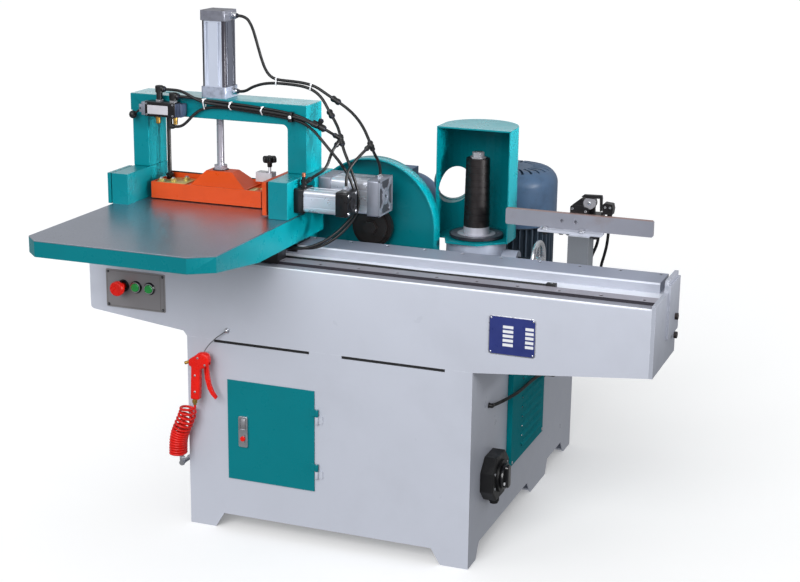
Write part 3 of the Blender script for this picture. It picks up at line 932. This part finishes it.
k = Kit("front_cylinder", "carriage", [M_ALUX, M_BLACKMETAL, M_ZINC, M_BLACK, M_COPPER])
k.prism(profile(FY, FZ, 29.5, 9.0, (-14.0, 14.0), 1.6, -106.5), (93, 0, 0), M_ALUX)
for _a, _b in ((-133, -106), (-14, 20)):
    k.prism(profile(FY, FZ, 32.5, 4.0, (), 0, _a), (_b - _a, 0, 0), M_BLACKMETAL, 0.9, 2)
for _dy in (-24, 24):
    for _dz in (-24, 24):
        k.socket((19.6, FY + _dy, FZ + _dz), (1, 0, 0), 5.2, 3.0, M_ZINC, M_BLACK)
k.lathe((19.8, FY, FZ), (1, 0, 0), [(0, 0), (0, 19), (1.6, 19), (2.4, 17.6), (2.4, 14), (1.0, 13), (1.0, 0)], M_BLACKMETAL, 40)
k.done("aluminium", ["side_cylinders"])

k = Kit("rear_cylinder", "carriage", [M_ALUX, M_CAST, M_ZINC, M_BLACK, M_SUNK])
k.prism(profile(RY, RZ, 46.0, 11.0, (-20.0, 20.0), 2.0, -70.5), (106, 0, 0), M_ALUX)
k.prism(profile(RY, RZ, 49.0, 6.0, (), 0, -104), (34, 0, 0), M_CAST, 1.0, 2)
k.prism(profile(RY, RZ, 49.0, 6.0, (), 0, 35), (32, 0, 0), M_CAST, 1.0, 2)
# end face: raised rim, cross ribs and corner bosses over sunk fields
k.prism(profile(RY, RZ, 49.0, 6.0, (), 0, 66.8), (0.4, 0, 0), M_SUNK)
for _s in (-1, 1):
    k.box((66.5, RY - 49, RZ + (44 if _s > 0 else -49)), (70, RY + 49, RZ + (49 if _s > 0 else -44)), M_CAST, 0.7)
    k.box((66.5, RY + (44 if _s > 0 else -49), RZ - 49), (70, RY + (49 if _s > 0 else -44), RZ + 49), M_CAST, 0.7)
    k.box((66.5, -62, -4.5), (69.6, 62, 4.5), M_CAST, 0.8, 2, Matrix.Translation(vec((0, RY, RZ))) @ Matrix.Rotation(math.radians(45 * _s), 4, "X"))
k.lathe((66.5, RY, RZ), (1, 0, 0), [(0, 0), (0, 23), (3.0, 23), (3.6, 22), (3.6, 15), (1.8, 14), (1.8, 0)], M_CAST, 40)
for _dy in (-36, 36):
    for _dz in (-36, 36):
        k.lathe((66.5, RY + _dy, RZ + _dz), (1, 0, 0), [(0, 0), (0, 10.5), (2.8, 10.5), (3.4, 9.6), (3.4, 6.4), (0.9, 6.4), (0.9, 0)], M_CAST, 28)
        k.lathe((67.3, RY + _dy, RZ + _dz), (1, 0, 0), [(0, 0), (0, 5.6), (1.6, 5.6), (1.6, 3.2), (0.6, 3.0), (0.6, 0)], M_ZINC, 6)
k.done("aluminium", ["side_cylinders"])

# --------------------------------------------------------------- hand valve
k = Kit("hand_valve_detail", "carriage", [M_BLACKMETAL, M_CAST, M_LABEL, M_BLUECAP, M_BRASS, M_BLACK, M_ZINC, M_RING, M_CHROME])
k.box((-597, -355, 1101), (-506, -319.1, 1141), M_BLACKMETAL, 1.2, 3)
k.box((-609, -353, 1103), (-596.8, -321, 1139), M_CAST, 1.0, 3)
k.box((-589, -355.5, 1108), (-527, -354.6, 1132), M_LABEL, 0.2, 1)
for _i in range(4):
    k.box((-506.2 + 5 * _i, -353, 1103), (-502.6 + 5 * _i, -321, 1139), M_BLUECAP, 0.8, 2)
k.box((-506.2, -351, 1105), (-486, -323, 1137), M_BLUECAP, 0.5, 2)
for _x in (-592, -512):
    for _z in (1106, 1136):
        k.socket((_x, -354.9, _z), (0, -1, 0), 2.6, 1.6, M_ZINC, M_BLACK)
for _x in (-566, -513):
    k.lathe((_x, -338, 1101.4), (0, 0, -1), [(0, 0), (0, 7.2), (4.6, 7.2), (5.2, 6.0), (6.2, 6.0), (6.8, 6.6), (19.6, 6.2), (21.0, 4.4), (21.4, 0)], M_BRASS, 24)
for _x, _z in ((-560, 1175), (-518, 1158)):
    k.lathe((_x, -338, 1140.8), (0, 0, 1), [(0, 0), (0, 11.6), (6.0, 11.6), (6.6, 10.0), (6.6, 0)], M_CHROME, 6)
    k.lathe((_x, -338, 1147), (0, 0, 1), [(0, 0), (0, 8.6), (_z - 9.5 - 1147, 8.6), (_z - 9 - 1147, 11.2), (_z + 7 - 1147, 11.4), (_z + 9.4 - 1147, 9.6), (_z + 10 - 1147, 0)], M_BLACK, 28)
    k.lathe((_x, -338, _z), (1, 0, 0), [(0, 0), (0, 8.8), (15.2, 8.8), (15.8, 8.0), (15.8, 0)], M_BLACK, 28)
    k.lathe((_x + 15, -338, _z), (1, 0, 0), [(0, 0), (0, 6.6), (3.6, 6.6), (4.0, 5.2), (4.0, 0)], M_RING, 24)
k.lathe((-530, -338, 1101.4), (0, 0, -1), [(0, 0), (0, 8.6), (6.0, 8.6), (6.4, 6.6), (31, 6.8), (33, 5.2), (33.4, 0)], M_BLACK, 28)
k.lathe((-530, -338, 1075), (1, 0, 0), [(0, 0), (0, 6.8), (9.4, 6.8), (9.8, 6.2), (9.8, 5.6), (13.2, 5.6), (13.6, 4.8), (13.6, 0)], M_BLACK, 28)
for _a, _b in ((-352, -346.6), (-328.4, -323)):
    k.box((-617, _a, 1110), (-608.6, _b, 1132), M_CAST, 0.8, 2)
k.done("black_plastic", ["hand_valve"])


# ------------------------------------------------------------ hose fittings
k = Kit("hose_couplings", "carriage", [M_BLACK, M_RING, M_CHROME, M_COPPER, M_ZINC, M_BLACKMETAL])


def coupling(a, b, r, ends=(True, True)):
    a, b = Vector(a), Vector(b)
    d = b - a
    L = d.length
    k.lathe(a, d, [(0, 0), (0, r * 0.93), (0.6, r), (L * 0.30, r), (L * 0.33, r * 0.86), (L * 0.67, r * 0.86), (L * 0.70, r), (L - 0.6, r), (L, r * 0.93), (L, 0)], M_BLACK, 28)
    if ends[0]:
        k.lathe(a, -d, [(0, 0), (0, max(4.9, r * 0.78)), (2.4, max(4.9, r * 0.78)), (2.8, 4.6), (2.8, 0)], M_RING, 24)
    if ends[1]:
        k.lathe(b, d, [(0, 0), (0, max(4.9, r * 0.78)), (2.4, max(4.9, r * 0.78)), (2.8, 4.6), (2.8, 0)], M_RING, 24)


coupling((-80, -268, 1172), (-60.7, -268.0, 1161.4), 8.6)
coupling((-86, -276, 1138), (-74.8, -280.5, 1124.6), 8.6)
coupling((-112, -324, 1112), (-79.1, -322.7, 1097.5), 9.4)
coupling((-95, -323.3, 1104.5), (-88, -323, 1121), 7.4, (False, True))
coupling((-112, -334.5, 1113), (-93.2, -334.5, 1106.2), 7.4, (True, False))
coupling((-43, -302, 1080), (-32.0, -313.0, 1058.0), 8.0)
coupling((-38.9, -306.1, 1071.8), (-47, -321, 1056), 7.0, (False, True))
coupling((-38.9, -306.1, 1071.8), (-54, -316, 1083), 7.0, (False, True))
coupling((44, -309, 1070), (51.6, -314.3, 1058.2), 8.0, (True, False))
coupling((47.6, -311.5, 1064.5), (37, -317, 1052), 7.0, (False, True))
coupling((47.6, -311.5, 1064.5), (48.7, -300, 1049.4), 7.0, (False, True))
# ports on the side cylinders
k.lathe((3, FY, 948.4), (0, 0, 1), [(0, 0), (0, 9.0), (5, 9.0), (5.6, 7.2), (11, 7.2), (11.6, 5.8), (13.6, 5.6), (13.6, 0)], M_CHROME, 6)
k.lathe((53, RY, 966.9), (0, 0, 1), [(0, 0), (0, 9.0), (4, 9.0), (4.4, 7.2), (7.6, 7.0), (7.6, 5.4), (9.1, 5.2), (9.1, 0)], M_CHROME, 6)
k.lathe((-118, FY, 948.4), (0, 0, 1), [(0, 0), (0, 9.4), (5, 9.4), (5.4, 7.4), (19, 7.4), (20, 6.2), (20.4, 4.6), (27, 4.4), (27.4, 0)], M_BLACKMETAL, 24)
k.lathe((-118, FY, 975.4), (0, 0, 1), [(0, 0), (0, 4.4), (1, 5.2), (9.2, 5.0), (11.0, 3.6), (11.4, 0)], M_COPPER, 24)
_a, _b = Vector((-98, -370, 972)), Vector((-117, -370, 958.7))
coupling(_a, _b, 6.8, (True, False))
# distribution block under the carriage with its push-in collars
k.box((-200, -415, 775), (-160, -374, 797.9), M_BLACKMETAL, 1.2, 3)
for _y in (-401, -388):
    k.lathe((-160.2, _y, 786.5), (1, 0, 0), [(0, 0), (0, 5.8), (4.6, 5.8), (5.0, 4.8), (5.0, 0)], M_RING, 24)
for _x in (-192, -168):
    k.socket((_x, -394.5, 775.2), (0, 0, -1), 3.2, 2.6, M_ZINC, M_BLACK)
k.done("black_plastic", ["hose_fittings"])

# ties round the hoses, and the clip on the header
k = Kit("cable_ties", "carriage", [M_NYLON, M_BLACK, M_ZINC])


def tie(points, pad, d, head):
    """A strap round the given hose centres (mm), in the plane across d."""
    f = axis_frame(points[0], d)
    inv = f.inverted()
    loc = [(inv @ vec(p)) / MM for p in points]
    ring = []
    for i in range(40):
        a = 2 * math.pi * i / 40
        n = Vector((math.cos(a), math.sin(a), 0))
        best = max(loc, key=lambda q: q.dot(n))
        ring.append(((best.x + pad * n.x), (best.y + pad * n.y)))
    tmp = bmesh.new()
    cx = sum(p[0] for p in ring) / 40
    cy = sum(p[1] for p in ring) / 40
    loops = []
    for z, g in ((-1.6, 0.0), (-1.6, 1.1), (1.6, 1.1), (1.6, 0.0)):
        loop = []
        for x, y in ring:
            n = Vector((x - cx, y - cy, 0)).normalized()
            loop.append(tmp.verts.new(((x + n.x * g) * MM, (y + n.y * g) * MM, z * MM)))
        loops.append(loop)
    for a, b in zip(loops, loops[1:] + loops[:1]):
        for i in range(40):
            q = (i + 1) % 40
            tmp.faces.new((a[i], a[q], b[q], b[i]))
    k.merge(tmp, M_NYLON, f)
    k.box((head[0] - 2.0, head[1] - 1.6, head[2] - 2.0), (head[0] + 2.0, head[1] + 1.6, head[2] + 2.0), M_NYLON, 0.5)


tie([(-426, -328.6, 1151.9), (-426, -339.2, 1149.4), (-426, -326.2, 1130)], 4.3, (1, 0.05, -0.12), (-426, -343.0, 1156))
tie([(-350, -326, 1147.3), (-350, -334.6, 1141.2), (-350, -326, 1134.8)], 4.3, (1, 0, -0.06), (-350, -334.0, 1150.5))
tie([(-256, -326, 1141.0), (-256, -334.5, 1135.6), (-256, -326, 1127.4)], 4.3, (1, 0, -0.09), (-256, -334.0, 1144.8))
tie([(-243, -268, 1211.2), (-243, -268, 1201.2)], 4.3, (1, 0, -0.05), (-243, -272.6, 1213.5))
tie([(-141, -268, 1202.8), (-141, -268, 1191.9)], 4.3, (1, 0, -0.22), (-141, -272.6, 1205))
# clip: a strip over the three hoses with its screw
k.box((-178, -339.6, 1112), (-166, -338.6, 1137), M_BLACK, 0.3)
k.box((-178, -339.4, 1136.2), (-166, -319.2, 1137.4), M_BLACK, 0.3)
k.box((-178, -339.4, 1111.8), (-166, -319.2, 1113.0), M_BLACK, 0.3)
k.pan((-172, -339.5, 1125), (0, -1, 0), 4.6, 2.6, M_NYLON, M_BLACK)
k.done("hose_black")

# ---------------------------------------------------- cheeks and portal bits
k = Kit("carriage_screws", "carriage", [M_ZINC, M_BLACK, M_DARK])
k.lathe((-669, -424, 893), (-1, 0, 0), [(0, 0), (0, 9), (1.2, 9), (1.2, 7.5), (5.2, 7.0), (6.4, 5.0), (6.6, 0)], M_ZINC, 24)
for _y in (-310, -240):
    k.socket((-669, _y, 893), (-1, 0, 0), 6, 5.0, M_ZINC, M_BLACK)
k.done("ground_steel")

# ----------------------------------------------- stop bar and limit valve bits
k = Kit("stop_bolts", "base", [M_ZINC, M_BLACK, M_GREYPART, M_BLACKMETAL, M_BRASS])
for _x in (528, 548):
    k.lathe((_x, -157, 836), (0, 0, 1), [(0, 0), (0, 5.5), (1, 6.2), (6.2, 6.2), (6.2, 0)], M_BLACKMETAL, 6)
for _x in (486, 586):
    k.hexhead((_x, -168, 849), (0, 0, 1), 7.5, 5.5, M_ZINC)
    k.hexhead((_x, -168, 842), (0, 0, -1), 7.5, 6.0, M_BLACKMETAL)
k.hexhead((622, -168, 842), (0, 0, -1), 7.5, 6.0, M_BLACKMETAL)
# screws and hose collars of the limit valve, and the head of its cam pin
for _x, _z in ((551, 904), (587, 899)):
    k.socket((_x, -137.9, _z), (0, -1, 0), 3.2, 1.8, M_ZINC, M_BLACK)
for _x in (637, 650):
    k.socket((_x, -129.9, 913), (0, -1, 0), 3.0, 1.8, M_ZINC, M_BLACK)
for _x, _y, _z in ((647, -118, 894.2), (619, -116, 842.2)):
    k.lathe((_x, _y, _z), (0, 0, -1), [(0, 0), (0, 6.6), (6, 6.6), (6.4, 5.4), (8.6, 5.2), (8.6, 0)], M_BLACKMETAL, 24)
k.done("ground_steel")
k = Kit("cam_pin", "stop_lever", [M_ZINC, M_BLACK])
k.pan((595, -133.9, 921), (0, -1, 0), 4.6, 1.3, M_ZINC, M_BLACK)
k.done("ground_steel")

# ----------------------------------------------------------- motor hardware
k = Kit("motor_hardware", "base", [M_ZINC, M_MOTOR, M_BLACK])
for _i in range(4):
    _a = math.radians(45 + 90 * _i)
    k.pan((287 + 125 * math.cos(_a), 200 + 125 * math.sin(_a), 800), (math.cos(_a), math.sin(_a), 0), 4.2, 2.4, M_ZINC, M_BLACK)
k.done("motor_paint")

# ------------------------------------------------------------- light and floor
world = bpy.data.worlds.new("studio")
scene.world = world
world.use_nodes = True
_nt = world.node_tree
_bg = _nt.nodes["Background"]
_co = _nt.nodes.new("ShaderNodeTexCoord")
_sep = _nt.nodes.new("ShaderNodeSeparateXYZ")
_nt.links.new(_co.outputs["Generated"], _sep.inputs[0])
_mr = _nt.nodes.new("ShaderNodeMapRange")
_mr.inputs["From Min"].default_value = -0.3
_mr.inputs["From Max"].default_value = 0.9
_mr.inputs["To Min"].default_value = 0.30
_mr.inputs["To Max"].default_value = 0.66
_nt.links.new(_sep.outputs[2], _mr.inputs["Value"])
_nt.links.new(_mr.outputs["Result"], _bg.inputs["Strength"])
_bg.inputs["Color"].default_value = (0.97, 0.985, 1.0, 1.0)


def sun(name, strength, toward, angle):
    d = bpy.data.lights.new(name, "SUN")
    d.energy, d.angle = strength, math.radians(angle)
    o = bpy.data.objects.new(name, d)
    o.rotation_mode = "QUATERNION"
    o.rotation_quaternion = Vector(toward).normalized().to_track_quat("-Z", "Y")
    scene.collection.objects.link(o)


sun("key", 2.1, (0.0, 0.87, -0.46), 40)


def area(name, watts, size, at, aim, spread=180):
    d = bpy.data.lights.new(name, "AREA")
    d.shape, d.size, d.size_y, d.energy = "RECTANGLE", size[0], size[1], watts
    d.spread = math.radians(spread)
    o = bpy.data.objects.new(name, d)
    o.location = at
    o.rotation_mode = "QUATERNION"
    o.rotation_quaternion = (Vector(aim) - Vector(at)).normalized().to_track_quat("-Z", "Y")
    scene.collection.objects.link(o)
    return o


area("softbox", 15.0, (2.2, 2.2), (-2.6, -2.9, 3.6), (0.0, -0.2, 0.7))
area("right_fill", 5.5, (0.6, 0.6), (3.0, -0.95, 1.45), (-0.3, -0.3, 1.2), 30)
# white panel behind the machine: only mirrored, so that the painted tops shine
_panel = area("back_panel", 8.0, (3.2, 0.6), (-0.3, 0.55, 1.52), (-0.3, -0.4, 1.2))
_panel.visible_diffuse = False
_panel.visible_camera = False
_painted = bpy.data.collections.new("painted_tops")
for _n in ("gantry_frame", "left_cheek", "right_cheek", "carriage_frame", "cutter_hood", "saw_hood"):
    _painted.objects.link(NODES[_n])
_panel.light_linking.receiver_collection = _painted
# and a weak lamp from the back right for their right faces
_side = area("paint_fill", 3.0, (0.6, 0.6), (2.2, 0.2, 1.7), (-0.2, -0.27, 1.05), 30)
_side.light_linking.receiver_collection = _painted

_me = bpy.data.meshes.new("floor")
_s = 60.0
_me.from_pydata([(-_s, -_s, 0), (_s, -_s, 0), (_s, _s, 0), (-_s, _s, 0)], [], [(0, 1, 2, 3)])
floor = bpy.data.objects.new("floor", _me)
floor.location.z = -0.0004
_fm = Mat("floor", (0.93, 0.93, 0.93), 0.9, spec=0.1).vary(0.004, 0.6)
_fm.b.inputs["Emission Color"].default_value = (1.0, 1.0, 1.0, 1.0)
_fm.b.inputs["Emission Strength"].default_value = 0.2
_me.materials.append(_fm.done())
scene.collection.objects.link(floor)
floor.visible_diffuse = False
floor.visible_glossy = False
floor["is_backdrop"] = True

scene.view_settings.view_transform = "Standard"

_lo, _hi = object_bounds()
